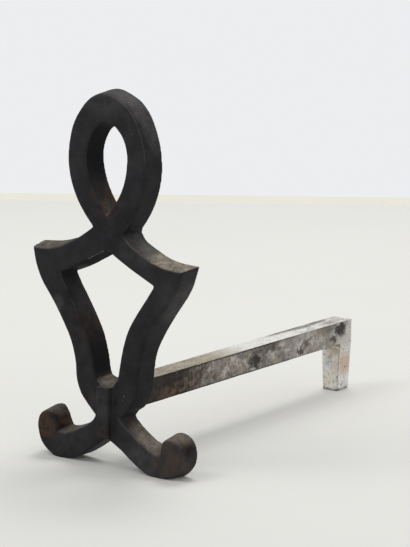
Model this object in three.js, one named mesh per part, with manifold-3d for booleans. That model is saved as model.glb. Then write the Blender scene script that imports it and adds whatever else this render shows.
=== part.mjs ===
// A cast-iron andiron: a looped front figure with turned-up toes, a square log bar whose end is
// cast into the figure, and a rear leg welded under the far end of the bar.
//
// Millimetres, +Z up. The figure faces -Y, the bar runs back along +Y, and Z = 0 is the hearth.
// While it is drawn, X = 0 is the middle of the bar and Y = 0 the front face of the figure.
// The finished model is moved so that the origin lies on the hearth, under the middle of its box.

import * as THREE from "three";
import { mergeVertices } from "three/addons/utils/BufferGeometryUtils.js";
import Module from "manifold-3d";

// ---------------------------------------------------------------- driving dimensions

const CLEARANCE = 0.3; // between any two pieces

// The figure was cast face down, so its sides lean outwards from the front face to the back. The
// soles are ground level with the hearth.
const FACE_HEIGHT = 398.4; // of the front face, from the hearth to the top of the loop
const FACE_WIDTH = 199.1; // of the front face, from the left shoulder to the right toe
const FIGURE_THICKNESS = 26;
const SIDE_LEAN = 3.6; // how far each side moves out from front to back
const FACE_EDGE_RADIUS = 3; // the worn round edge of the front face
const FACE_EDGE_STEPS = 3; // flat steps that stand for the rounding
const BACK_EDGE_BREAK = 0.8; // the small break of the back edge, at the parting line

const BAR_WIDTH = 27;
const BAR_HEIGHT = 28.5;
const BAR_TOP = 87.7; // height of the face that the logs lie on
const BAR_END = 470; // from the front face of the figure to the far end of the bar
const BAR_EDGE = 1; // the broken long edges of the bar

// The end of the bar that the iron was poured round: a dovetail, so that it can't pull out.
const TENON_NECK = 13;
const TENON_TAIL = 17;
const TENON_HEIGHT = 20;
const TENON_COVER = 6; // the iron between the dovetail and the front face
const TENON_ROOT = 2; // how far the dovetail is rooted in the full section of the bar

const LEG_DEPTH = 26.3; // along the bar
const LEG_FOOT_WIDTH = 21; // the leg tapers from the width of the bar to this
const LEG_EDGE = 1;
const WELD_SIZE = 6.5; // each side of the bead in the corner of bar and leg
const WELD_INSET = 1.5; // the bead stops this far short of the sides of the bar

// The upright rib on the front, which thickens the crossing where the bar is cast in.
const RIB_TOP_WIDTH = 17.3;
const RIB_FOOT_WIDTH = 15.2;
const RIB_LEFT = -6; // its left side stands straight, so that it leans a little to the right
const RIB_PROUD = 9; // how far it stands out at its top
const RIB_FOOT_PROUD = 6.5;
const RIB_EDGE = 1.2;

const WEB_TOP = 89.6; // the web between the legs stands a little above the bar
const WEB_LEFT_FILLET = 11;
const WEB_RIGHT_FILLET = 7;
const WEB_RIGHT = 16.6; // where the web meets the inside of each leg
const WEB_LEFT = -16.2;

// ---------------------------------------------------------------- outline of the front face

// Each line is one smooth stretch of the outline, through points [x, height]. It starts at a corner
// and ends at the corner that starts the next stretch. The last one ends where the first starts.
// The two sides differ by some millimetres, because the pattern for the casting was cut by hand.
// Heights and widths here are stretched together to FACE_HEIGHT and FACE_WIDTH.
const OUTSIDE = [
  // over the loop, from its right neck to its left neck
  [
    [18.3, 253.4], [29.7, 265.7], [40, 282], [47.4, 301], [50.5, 322], [48.6, 344],
    [42.3, 363.5], [33.5, 379], [20.5, 390.5], [-1, 398.3], [-20, 393.6], [-34.5, 379.8],
    [-45.5, 360.5], [-50.8, 333], [-47.8, 307.5], [-38.5, 285.3], [-26, 268.3],
  ],
  // left shoulder, then the outside of the left leg
  [[-16.5, 257.7], [-31.4, 247.4], [-48, 237.8], [-64.6, 231.1], [-82.7, 227.5]],
  [
    [-99.5, 227.3], [-95.4, 209], [-86, 190.5], [-71, 171.5], [-57, 150], [-46.4, 130.3],
    [-41, 110], [-39.3, 92], [-34, 77.6], [-24, 65.5],
  ],
  // left foot: its top, then round the toe and along the sole
  [[-12.8, 55], [-18, 47.3], [-27, 40.1], [-41, 32.7], [-55, 27.9]],
  [
    [-66.8, 27.3], [-68.2, 39.5], [-71.8, 46.5], [-78.5, 48.7], [-86.3, 46.6], [-91.7, 41.5],
    [-93.8, 33], [-92.8, 24.5], [-89.6, 15.4], [-84, 8.6], [-76, 3.1], [-66, 0.1],
    [-52, 1.6], [-38.3, 6], [-25.5, 13.6], [-14.2, 21.6], [-6, 28],
  ],
  // right foot: its sole, round the toe, then its top
  [
    [0.5, 32.8], [10.3, 28.2], [20.7, 22.4], [34.2, 13.2], [47.6, 5.1], [60, 0.9], [71, -0.1],
    [82, 2.2],
    [91, 7.6], [97.4, 15.8], [99.6, 25], [98, 34], [92.5, 40.2], [85, 42.4],
    [78.3, 40.6], [74.9, 35],
  ],
  [[73.4, 22.6], [62, 25], [47.4, 32.4], [34, 41.6], [22, 50]],
  // outside of the right leg, then the right shoulder
  [
    [15.8, 56.2], [27, 65.5], [36.5, 77], [41, 91], [42.4, 108], [46.8, 130.3],
    [57.2, 151.5], [71, 173], [86, 193.8], [93.8, 208],
  ],
  [[98.3, 222.3], [84, 223], [70, 225.3], [56.5, 230], [44, 236], [32, 242.6]],
];

const LOOP_HOLE = [
  [
    [0.4, 269.2], [-9, 280.8], [-18.6, 296.6], [-24.8, 314], [-27.2, 331], [-24.4, 346.5],
    [-17, 360.5], [-8.5, 367.3], [0, 369.1], [9, 367.5], [16, 362], [22.4, 353.6],
    [26.8, 341.5], [27.6, 330], [24.8, 310.8], [18.2, 294.4], [9, 280.5],
  ],
];

// The field between the shoulders and the legs: its left, then its right half, each downwards.
const DIAMOND_LEFT_SHOULDER = [
  [0.5, 236.5], [-20.1, 225.4], [-36.2, 216.9], [-44.3, 213.1], [-54.3, 209.1],
];
const DIAMOND_LEFT_LEG = [
  [-65, 205.6], [-59.3, 194.9], [-52.9, 184], [-46, 174.1], [-34.5, 156], [-28.5, 145.2],
  [-23.3, 133.2], [-18.5, 115],
];
const DIAMOND_RIGHT_LEG = [
  [19.8, 115], [23.7, 133.1], [27.5, 145.4], [31.9, 155.6], [39, 167.3], [45.6, 176.8],
  [53.4, 187.8],
];
const DIAMOND_RIGHT_SHOULDER = [
  [64.5, 204.3], [49.3, 211.1], [36.1, 217.2], [25.5, 222.6], [14.8, 228.4],
];

// Places where the sides lean less or more than elsewhere: [x, height, reach, share of the lean].
const UNEVEN_SIDES = [
  [18.3, 253.4, 6, 1.75], // the right neck is blunt towards the back
  [-72, 231, 26, 1.45], // on top of the left shoulder
  [-69, 43, 9, 0.15], // inside the left toe
  [30, 45, 13, 0.35], // on top of the right foot
  [48, 33, 15, 0.35],
  [25, 64, 8, 0.5], // outside the right ankle
];

// How a smooth stretch is divided: after so many degrees of turn, or so many millimetres.
const TURN_STEP = 5.5;
const LONGEST_STEP = 12;
const SHORTEST_STEP = 2.2;
const CORNER_STEP = 6.5; // next to a corner, where leaning sides run together

// ---------------------------------------------------------------- solids

const wasm = await Module();
wasm.setup();

/** The closed geometry as a solid that can be joined and cut. */
function solidFrom(geometry) {
  const bare = geometry.clone();
  bare.deleteAttribute("normal");
  bare.deleteAttribute("uv");
  const merged = mergeVertices(bare, 1e-4);
  return new wasm.Manifold(
    new wasm.Mesh({
      numProp: 3,
      vertProperties: new Float32Array(merged.attributes.position.array),
      triVerts: new Uint32Array(merged.index.array),
    }),
  );
}

/** The solid as a geometry with flat faces. */
function geometryFrom(solid) {
  const { numProp, vertProperties, triVerts } = solid.getMesh();
  const corners = new Float32Array(triVerts.length * 3);
  triVerts.forEach((vertex, i) => {
    corners.set(vertProperties.subarray(vertex * numProp, vertex * numProp + 3), i * 3);
  });
  const geometry = new THREE.BufferGeometry();
  geometry.setAttribute("position", new THREE.BufferAttribute(corners, 3));
  geometry.computeVertexNormals();
  return geometry;
}

/** A box between two opposite corners. */
function boxBetween(low, high) {
  const size = high.map((value, axis) => value - low[axis]);
  const box = new THREE.BoxGeometry(...size);
  box.translate(...low.map((value, axis) => value + size[axis] / 2));
  return box;
}

/** An outline in the XZ plane, pushed back along +Y from the plane y = front. */
function pushedBack(outline, front, depth, bevel = {}) {
  const solid = new THREE.ExtrudeGeometry(outline, { depth, bevelEnabled: false, ...bevel });
  solid.rotateX(Math.PI / 2); // the outline now stands upright and the depth runs towards -Y
  solid.translate(0, front + depth, 0);
  return solid;
}

/** A shape with straight sides through the given points. */
function polygon(points) {
  return new THREE.Shape(points.map(([x, y]) => new THREE.Vector2(x, y)));
}

/** A rectangle about the origin with its corners cut off. */
function brokenRectangle(width, height, edge) {
  const [x, y] = [width / 2, height / 2];
  return polygon([
    [-x + edge, -y], [x - edge, -y], [x, -y + edge], [x, y - edge],
    [x - edge, y], [-x + edge, y], [-x, y - edge], [-x, -y + edge],
  ]);
}

/** The drawn points of all stretches, stretched to the sizes of the front face. */
function fittedFace() {
  const drawn = OUTSIDE.flat();
  const widths = drawn.map(([x]) => x);
  const heights = drawn.map(([, height]) => height);
  const wider = FACE_WIDTH / (Math.max(...widths) - Math.min(...widths));
  const taller = FACE_HEIGHT / (Math.max(...heights) - Math.min(...heights));
  return (stretch) => stretch.map(([x, height]) => [x * wider, height * taller]);
}

const fitted = fittedFace();

/** The lower end of the diamond: round corners beside the flat top of the web. */
function webStretches() {
  const [left, right] = [WEB_LEFT_FILLET, WEB_RIGHT_FILLET];
  const near = 0.3; // how near the middle of a fillet lies to its corner, of its radius
  return [
    [
      [WEB_LEFT, WEB_TOP + left],
      [WEB_LEFT + near * left, WEB_TOP + near * left],
    ],
    [[WEB_LEFT + left, WEB_TOP]],
    [
      [WEB_RIGHT - right, WEB_TOP],
      [WEB_RIGHT - near * right, WEB_TOP + near * right],
    ],
  ];
}

/** The outline of the diamond, all the way round. */
function diamondHole() {
  const rightLeg = [[WEB_RIGHT, WEB_TOP + WEB_RIGHT_FILLET], ...fitted(DIAMOND_RIGHT_LEG)];
  return [
    fitted(DIAMOND_LEFT_SHOULDER),
    fitted(DIAMOND_LEFT_LEG),
    ...webStretches(),
    rightLeg,
    fitted(DIAMOND_RIGHT_SHOULDER),
  ];
}

/** The points of one stretch, closest where it bends most; its end is the next one's start. */
function stretchPoints(stretch, end) {
  const through = [...stretch, end].map(([x, height]) => new THREE.Vector2(x, height));
  if (through.length === 2) return [through[0]];
  const curve = new THREE.SplineCurve(through);
  const fine = curve.getSpacedPoints(2 * Math.round(curve.getLength()));
  const kept = [fine[0]];
  let turned = 0;
  for (let i = 1; i < fine.length - 1; i++) {
    const arriving = fine[i].clone().sub(fine[i - 1]);
    const leaving = fine[i + 1].clone().sub(fine[i]);
    turned += Math.abs(THREE.MathUtils.radToDeg(arriving.angleTo(leaving)));
    const walked = fine[i].distanceTo(kept.at(-1));
    const due = turned > TURN_STEP || walked > LONGEST_STEP;
    const toCorner = Math.min(fine[i].distanceTo(fine[0]), fine[i].distanceTo(fine.at(-1)));
    if (!due || toCorner < CORNER_STEP || walked < SHORTEST_STEP) continue;
    kept.push(fine[i]);
    turned = 0;
  }
  return kept;
}

/** The points of a closed outline, turned so that the iron lies on the left of its path. */
function outlinePoints(stretches, isHole) {
  const points = stretches.flatMap((stretch, i) =>
    stretchPoints(stretch, stretches[(i + 1) % stretches.length][0]),
  );
  return THREE.ShapeUtils.isClockWise(points) === isHole ? points : points.reverse();
}

/** For each point of a closed outline, the move that shifts both its sides out by 1. */
function outwardMoves(points) {
  return points.map((point, i) => {
    const before = points[(i + points.length - 1) % points.length];
    const after = points[(i + 1) % points.length];
    const arriving = point.clone().sub(before).normalize();
    const leaving = after.clone().sub(point).normalize();
    const bisector = arriving.clone().add(leaving).normalize();
    return new THREE.Vector2(bisector.y, -bisector.x).divideScalar(bisector.dot(arriving));
  });
}

/** The notch between the feet, where the right sole starts. */
function crotch() {
  return new THREE.Vector2(...fitted(OUTSIDE[5])[0]);
}

/** The share of the side lean at a point, which is small where the left foot faces the hearth. */
function leanShare(point, move) {
  const notch = crotch();
  const downward = -move.y / move.length();
  if (point.x < notch.x && point.y < notch.y && downward > 0) return 1 - downward;
  return UNEVEN_SIDES.reduce((lean, [x, height, reach, share]) => {
    const away = point.distanceTo(new THREE.Vector2(x, height));
    return lean * THREE.MathUtils.lerp(share, 1, THREE.MathUtils.smoothstep(away, reach / 2, reach));
  }, 1);
}

/** The rims of the casting from the front to the back: depth, rounding and lean of each. */
function castingRims() {
  const visible = FACE_EDGE_RADIUS / 3; // the visible turn of the round edge lies on the outline
  const rims = Array.from({ length: FACE_EDGE_STEPS + 1 }, (_, step) => {
    const turn = (Math.PI / 2) * (1 - step / FACE_EDGE_STEPS);
    return {
      depth: FACE_EDGE_RADIUS * (1 - Math.sin(turn)),
      rounding: visible - FACE_EDGE_RADIUS * (1 - Math.cos(turn)),
    };
  });
  rims.push({ depth: FIGURE_THICKNESS - BACK_EDGE_BREAK, rounding: visible });
  rims.push({ depth: FIGURE_THICKNESS, rounding: visible - BACK_EDGE_BREAK });
  return rims.map((rim) => ({ ...rim, lean: (SIDE_LEAN * rim.depth) / FIGURE_THICKNESS }));
}

/** One outline, moved out to one rim of the casting. */
function rimPoints(points, moves, { rounding, lean }) {
  return points.map((point, i) => {
    const reach = rounding + lean * leanShare(point, moves[i]);
    return point.clone().addScaledVector(moves[i], reach);
  });
}

/** The figure's plate: its outline and holes, with leaning sides and a rounded front edge. */
function castPlate(outside, holes) {
  const loops = [outside, ...holes].map((stretches, i) => outlinePoints(stretches, i > 0));
  const rims = castingRims();
  const places = [];
  const triangles = [];
  const starts = rims.map(() => []); // where each rim of each loop begins among the places
  const flats = rims.map(() => []);
  for (const points of loops) {
    const moves = outwardMoves(points);
    rims.forEach((rim, level) => {
      const moved = rimPoints(points, moves, rim);
      starts[level].push(places.length / 3);
      flats[level].push(moved);
      moved.forEach(({ x, y }) => places.push(x, rim.depth, y));
    });
    for (let level = 1; level < rims.length; level++) {
      const [near, far] = [starts[level - 1].at(-1), starts[level].at(-1)];
      points.forEach((_, i) => {
        const next = (i + 1) % points.length;
        triangles.push(near + i, far + i, near + next, near + next, far + i, far + next);
      });
    }
  }
  for (const level of [0, rims.length - 1]) {
    const [rimOutside, ...rimHoles] = flats[level];
    const index = flats[level].flatMap((moved, loop) => moved.map((_, i) => starts[level][loop] + i));
    for (const corners of THREE.ShapeUtils.triangulateShape(rimOutside, rimHoles)) {
      const face = corners.map((corner) => index[corner]);
      triangles.push(...(level === 0 ? face : face.reverse()));
    }
  }
  const plate = new THREE.BufferGeometry();
  plate.setAttribute("position", new THREE.Float32BufferAttribute(places, 3));
  plate.setIndex(triangles);
  return solidFrom(plate);
}

/** The cast-in end of the bar, as a dovetail grown by a clearance on every side. */
function tenon(grow) {
  const [neck, tail] = [TENON_NECK / 2 + grow, TENON_TAIL / 2 + grow];
  const [back, end] = [FIGURE_THICKNESS + TENON_ROOT, TENON_COVER - grow];
  const plan = polygon([[neck, back], [-neck, back], [-tail, end], [tail, end]]);
  const prism = new THREE.ExtrudeGeometry(plan, {
    depth: TENON_HEIGHT + 2 * grow,
    bevelEnabled: false,
  });
  prism.translate(0, 0, BAR_TOP - BAR_HEIGHT / 2 - TENON_HEIGHT / 2 - grow);
  return solidFrom(prism);
}

/** The rib, narrower and less proud at its foot, with its front edges broken. */
function rib() {
  const foot = crotch().y;
  const front = polygon([
    [RIB_LEFT, foot], [RIB_LEFT + RIB_FOOT_WIDTH, foot],
    [RIB_LEFT + RIB_TOP_WIDTH, WEB_TOP], [RIB_LEFT, WEB_TOP],
  ]);
  const bevel = {
    bevelEnabled: true,
    bevelSegments: 1,
    bevelSize: RIB_EDGE,
    bevelOffset: -RIB_EDGE,
    bevelThickness: RIB_EDGE,
  };
  const depth = RIB_PROUD + FIGURE_THICKNESS / 3 - 2 * RIB_EDGE; // a third of it is in the plate
  const block = pushedBack(front, -RIB_PROUD + RIB_EDGE, depth, bevel);
  const places = block.attributes.position;
  for (let i = 0; i < places.count; i++) {
    const rise = (places.getZ(i) - foot) / (WEB_TOP - foot);
    const proud = THREE.MathUtils.lerp(RIB_FOOT_PROUD, RIB_PROUD, rise) / RIB_PROUD;
    if (places.getY(i) < 0) places.setY(i, places.getY(i) * proud);
  }
  return solidFrom(block);
}

/** The casting: plate with its rib, hollowed round the end of the bar and ground flat below. */
function frontFigure() {
  const plate = castPlate(OUTSIDE.map(fitted), [LOOP_HOLE.map(fitted), diamondHole()]);
  const reach = FACE_WIDTH;
  const hearth = boxBetween([-reach, -reach, -reach], [reach, reach, 0]);
  return plate.add(rib()).subtract(tenon(CLEARANCE)).subtract(solidFrom(hearth));
}

/** The log bar with its dovetailed end. */
function logBar() {
  const start = FIGURE_THICKNESS + CLEARANCE;
  const bar = pushedBack(brokenRectangle(BAR_WIDTH, BAR_HEIGHT, BAR_EDGE), start, BAR_END - start);
  bar.translate(0, 0, BAR_TOP - BAR_HEIGHT / 2);
  return solidFrom(bar).add(tenon(0));
}

/** The rear leg, which narrows towards the hearth. */
function rearLeg() {
  const top = BAR_TOP - BAR_HEIGHT - CLEARANCE;
  const [wide, narrow] = [BAR_WIDTH / 2, LEG_FOOT_WIDTH / 2];
  const front = polygon([[-narrow, 0], [narrow, 0], [wide, top], [-wide, top]]);
  const bevel = {
    bevelEnabled: true,
    bevelSegments: 1,
    bevelSize: LEG_EDGE,
    bevelOffset: -LEG_EDGE,
    bevelThickness: LEG_EDGE,
  };
  const start = BAR_END - LEG_DEPTH + LEG_EDGE;
  return solidFrom(pushedBack(front, start, LEG_DEPTH - 2 * LEG_EDGE, bevel));
}

/** The weld bead in the corner under the bar, in front of the leg. */
function legWeld() {
  const y = BAR_END - LEG_DEPTH - CLEARANCE;
  const z = BAR_TOP - BAR_HEIGHT - CLEARANCE;
  const bulge = 0.6 * WELD_SIZE;
  const sideView = new THREE.Shape();
  sideView.moveTo(y, z);
  sideView.lineTo(y - WELD_SIZE, z);
  sideView.quadraticCurveTo(y - bulge, z - bulge, y, z - WELD_SIZE);
  const width = BAR_WIDTH - 2 * WELD_INSET;
  const bead = new THREE.ExtrudeGeometry(sideView, {
    depth: width,
    bevelEnabled: false,
    curveSegments: 5,
  });
  bead.rotateX(Math.PI / 2).rotateZ(Math.PI / 2);
  bead.translate(-width / 2, 0, 0);
  return solidFrom(bead);
}

// ---------------------------------------------------------------- pieces

const castIron = () =>
  new THREE.MeshStandardMaterial({ color: 0x2b2928, roughness: 0.72, metalness: 0.6 });
const ashyIron = () =>
  new THREE.MeshStandardMaterial({ color: 0xa89c8c, roughness: 0.85, metalness: 0.2 });
const rustyWeld = () =>
  new THREE.MeshStandardMaterial({ color: 0x8a6b4a, roughness: 0.9, metalness: 0.2 });

const PIECES = {
  front_figure: [frontFigure, castIron],
  log_bar: [logBar, ashyIron],
  rear_leg: [rearLeg, ashyIron],
  leg_weld: [legWeld, rustyWeld],
};

const drawn = new THREE.Group();
for (const [name, [build, material]] of Object.entries(PIECES)) {
  const mesh = new THREE.Mesh(geometryFrom(build()), material());
  mesh.name = name;
  drawn.add(mesh);
}

const box = new THREE.Box3().setFromObject(drawn);
const middle = box.getCenter(new THREE.Vector3());
drawn.position.set(-middle.x, -middle.y, 0);

const andiron = new THREE.Group();
andiron.add(drawn);

export default andiron;
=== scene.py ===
"""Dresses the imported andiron: a cast-iron figure, a log bar whitened by ash and its rear leg.

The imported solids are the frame. The casting keeps its own solid, softened as sand-cast iron is,
and the forged bar, the leg and the weld bead are modelled again with their worn edges. A plain
pale floor, soft light and a camera at the viewing angle of the photograph complete the scene.
Lengths are in metres: -Y is the front, the log bar runs back along +Y and the floor is Z = 0.
"""

from __future__ import annotations

import logging
import math
from dataclasses import dataclass, field
from enum import Enum
from typing import Any, Union

import bmesh
import bpy
from mathutils import Matrix, Vector


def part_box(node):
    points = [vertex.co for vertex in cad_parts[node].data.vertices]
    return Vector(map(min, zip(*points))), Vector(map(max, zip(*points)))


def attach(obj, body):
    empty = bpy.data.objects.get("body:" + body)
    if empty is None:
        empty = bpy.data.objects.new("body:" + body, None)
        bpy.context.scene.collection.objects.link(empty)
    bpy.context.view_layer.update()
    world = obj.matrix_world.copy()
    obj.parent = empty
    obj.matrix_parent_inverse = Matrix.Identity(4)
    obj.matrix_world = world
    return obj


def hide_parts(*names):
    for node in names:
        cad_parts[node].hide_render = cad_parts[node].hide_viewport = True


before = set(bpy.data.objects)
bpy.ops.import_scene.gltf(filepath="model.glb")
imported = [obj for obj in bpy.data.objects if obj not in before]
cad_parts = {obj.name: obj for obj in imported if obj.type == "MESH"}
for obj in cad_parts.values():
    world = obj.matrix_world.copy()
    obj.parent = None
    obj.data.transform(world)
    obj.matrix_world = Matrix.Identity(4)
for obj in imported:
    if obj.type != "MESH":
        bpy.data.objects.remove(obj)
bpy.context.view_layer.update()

LOG = logging.getLogger("andiron")
MM = 0.001
SAME_PLACE = 1e-6
CUT_TOLERANCE = 1e-7
BODY = "root"

Colour = tuple[float, float, float]
Rows = tuple[float, float, float]
Number = Union[float, "Value"]


class Slot(Enum):
    """Names of three material slots; nothing in this script uses them."""

    CAST_IRON = "cast_iron"
    ASHY_IRON = "ashy_iron"
    WELD = "weld"


class Axis(Enum):
    """The row of a vector that a value is taken from."""

    X = 0
    Y = 1
    Z = 2


# ------------------------------------------------------------------ shader expressions


class Value:
    """A number or colour inside a material, on which Python's operators add Math nodes."""

    def __init__(self, recipe: "Recipe", socket: bpy.types.NodeSocket) -> None:
        """Wraps one output socket.

        Args:
            recipe: The material that the socket belongs to.
            socket: The output socket.
        """
        self.recipe = recipe
        self.socket = socket

    def _math(self, operation: str, *others: Number, clamp: bool = False) -> "Value":
        """Adds one Math node that starts from this value.

        Args:
            operation: The Math node's operation.
            others: The values of its other inputs.
            clamp: Whether the result is kept between 0 and 1.

        Returns:
            The node's result.
        """
        settings = {"operation": operation, "use_clamp": clamp}
        return self.recipe.node("ShaderNodeMath", settings, dict(enumerate((self, *others))))

    def _reflected(self, operation: str, first: Number) -> "Value":
        """Adds one Math node in which this value comes second.

        Args:
            operation: The Math node's operation.
            first: The value of its first input.

        Returns:
            The node's result.
        """
        settings = {"operation": operation}
        return self.recipe.node("ShaderNodeMath", settings, {0: first, 1: self})

    def __add__(self, other: Number) -> "Value":
        """The sum."""
        return self._math("ADD", other)

    __radd__ = __add__

    def __sub__(self, other: Number) -> "Value":
        """The difference."""
        return self._math("SUBTRACT", other)

    def __rsub__(self, other: Number) -> "Value":
        """The difference, from another number."""
        return self._reflected("SUBTRACT", other)

    def __mul__(self, other: Number) -> "Value":
        """The product."""
        return self._math("MULTIPLY", other)

    __rmul__ = __mul__

    def clamped(self) -> "Value":
        """This value, kept between 0 and 1."""
        return self._math("ADD", 0.0, clamp=True)

    def highest(self, other: Number) -> "Value":
        """The larger of this value and another."""
        return self._math("MAXIMUM", other)

    def size(self) -> "Value":
        """This value without its sign."""
        return self._math("ABSOLUTE")

    def step(self, low: float, high: float) -> "Value":
        """A soft step over this value.

        Args:
            low: Where the step starts.
            high: Where it ends. It may be the lower of the two, and then the step goes down.

        Returns:
            0 before the step, 1 after it, and a smooth change between.
        """
        if low > high:
            return 1.0 - self.step(high, low)
        settings = {"interpolation_type": "SMOOTHSTEP"}
        sockets = {"Value": self, "From Min": low, "From Max": high}
        return self.recipe.node("ShaderNodeMapRange", settings, sockets, "Result")


class Recipe:
    """Builds the nodes of one material, or of the world, round its shader."""

    def __init__(self, tree: bpy.types.NodeTree) -> None:
        """Starts from an empty node tree.

        Args:
            tree: The node tree to fill.
        """
        self.tree = tree
        self.tree.nodes.clear()

    def node(
        self,
        kind: str,
        settings: dict[str, Any],
        sockets: dict[Union[str, int], Any],
        output: Union[str, int] = 0,
    ) -> Value:
        """Adds any node.

        Args:
            kind: The node's type.
            settings: Its properties, which are set before its sockets.
            sockets: Values or links of its input sockets, by name or number.
            output: The name or number of the output to go on with.

        Returns:
            That output.
        """
        made = self.tree.nodes.new(kind)
        for name, setting in settings.items():
            setattr(made, name, setting)
        for key, given in sockets.items():
            if isinstance(given, Value):
                self.tree.links.new(given.socket, made.inputs[key])
            else:
                made.inputs[key].default_value = given
        return Value(self, made.outputs[output])

    def place(self) -> Value:
        """The place on the object, in metres."""
        return self.node("ShaderNodeTexCoord", {}, {}, "Object")

    def row(self, vector: Value, axis: Axis) -> Value:
        """One row of a vector."""
        return self.node("ShaderNodeSeparateXYZ", {}, {0: vector}, axis.value)

    def upward(self) -> Value:
        """How far the surface faces up: 1 on top, 0 on a wall and -1 underneath."""
        return self.row(self.node("ShaderNodeNewGeometry", {}, {}, "Normal"), Axis.Z)

    def stretched(self, place: Value, scale: Rows) -> Value:
        """A place whose rows are multiplied, so that a pattern runs along one of them."""
        return self.node("ShaderNodeVectorMath", {"operation": "MULTIPLY"}, {0: place, 1: scale})

    def distance(self, place: Value, centre: Rows) -> Value:
        """How far a place is from a fixed point."""
        settings = {"operation": "DISTANCE"}
        return self.node("ShaderNodeVectorMath", settings, {0: place, 1: centre}, "Value")

    def noise(
        self, place: Value, scale: float, detail: float = 4.0, rough: float = 0.55
    ) -> Value:
        """Cloudy noise.

        Args:
            place: Where it is read.
            scale: How many of its clouds lie in a metre.
            detail: How many finer layers it has.
            rough: How strong the finer layers are.

        Returns:
            A value round 0.5.
        """
        sockets = {"Vector": place, "Scale": scale, "Detail": detail, "Roughness": rough}
        return self.node("ShaderNodeTexNoise", {}, sockets, 0)

    def pits(self, place: Value, scale: float) -> Value:
        """The distance to the nearest of many scattered points, in cells of 1 / scale."""
        sockets = {"Vector": place, "Scale": scale}
        return self.node("ShaderNodeTexVoronoi", {"feature": "F1"}, sockets, "Distance")

    def facing(self, axis: Axis) -> Value:
        """How squarely the surface faces an axis, either way: 0 to 1."""
        return self.row(self.node("ShaderNodeNewGeometry", {}, {}, "Normal"), axis).size()

    def arris(self) -> Value:
        """A mask of the rounded edges of a squared piece: 0 on its faces, 1 along its edges."""
        x, y, z = (self.facing(axis) for axis in Axis)
        return (x + y + z).step(1.12, 1.34)

    def spots(self, place: Value, spots: tuple["Spot", ...], frayed: Number = 0.0) -> Value:
        """A mask of soft spots.

        Args:
            place: The place on the object.
            spots: The spots.
            frayed: A length by which their edges waver, in metres.

        Returns:
            The weight of the strongest spot at each place, and 0 outside them all.
        """
        mask = None
        for spot in spots:
            x, y, z = spot.stretch
            near = self.stretched(place, spot.stretch)
            centre = (spot.centre[0] * x, spot.centre[1] * y, spot.centre[2] * z)
            away = self.distance(near, centre) + frayed
            here = away.step(spot.reach, spot.reach * spot.core) * spot.weight
            mask = here if mask is None else mask.highest(here)
        return mask

    def finish(self, kind: str, shader: Value) -> None:
        """Adds the output node and links the shader to it."""
        made = self.tree.nodes.new(kind)
        self.tree.links.new(shader.socket, made.inputs["Surface"])

    def blend(self, amount: Number, first: Any, second: Any) -> Value:
        """A colour between two colours.

        Args:
            amount: 0 for the first, 1 for the second.
            first: A colour or a value.
            second: A colour or a value.

        Returns:
            The blended colour.
        """
        settings = {"data_type": "RGBA", "clamp_factor": True}
        sockets = {"Factor": amount, 6: shade(first), 7: shade(second)}
        return self.node("ShaderNodeMix", settings, sockets, 2)


@dataclass(frozen=True)
class Spot:
    """A soft round or oval spot of a finish.

    It is full up to core times its reach. A weight over 1 lets it outlast the noise that thins it,
    and a row of its stretch that is over 1 makes it narrower along that axis.
    """

    centre: Rows
    reach: float
    weight: float = 1.0
    core: float = 0.3
    stretch: Rows = (1.0, 1.0, 1.0)


def shade(colour: Any) -> Any:
    """A colour with its alpha, or a value as it is."""
    return (*colour, 1.0) if isinstance(colour, tuple) else colour


@dataclass(frozen=True)
class Surface:
    """What varies over a finish that covers its metal, and what is the same all over it."""

    colour: Value
    roughness: Value
    height: Value
    specular: float
    relief: float

    def dress(self) -> None:
        """Links the parts to the shader of their material."""
        recipe = self.colour.recipe
        bump = recipe.node(
            "ShaderNodeBump", {}, {"Strength": 1.0, "Distance": self.relief, "Height": self.height}
        )
        sockets = {
            "Base Color": self.colour,
            "Roughness": self.roughness,
            "Metallic": 0.0,
            "Specular IOR Level": self.specular,
            "Normal": bump,
        }
        shader = recipe.node("ShaderNodeBsdfPrincipled", {}, sockets, "BSDF")
        recipe.finish("ShaderNodeOutputMaterial", shader)


def new_material(name: str) -> tuple[bpy.types.Material, Recipe]:
    """Starts a material.

    Args:
        name: Its name.

    Returns:
        The material and the recipe that fills it.
    """
    material = bpy.data.materials.new(name)
    material.use_nodes = True
    return material, Recipe(material.node_tree)


# ------------------------------------------------------------------ finishes

# Where marks lie: on the casting's front edges along Y, the bar's sides along X, its top along Z
FRONT_EDGE = -0.2305
BAR_SIDE = 0.0138
BAR_TOP = 0.0877


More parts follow.
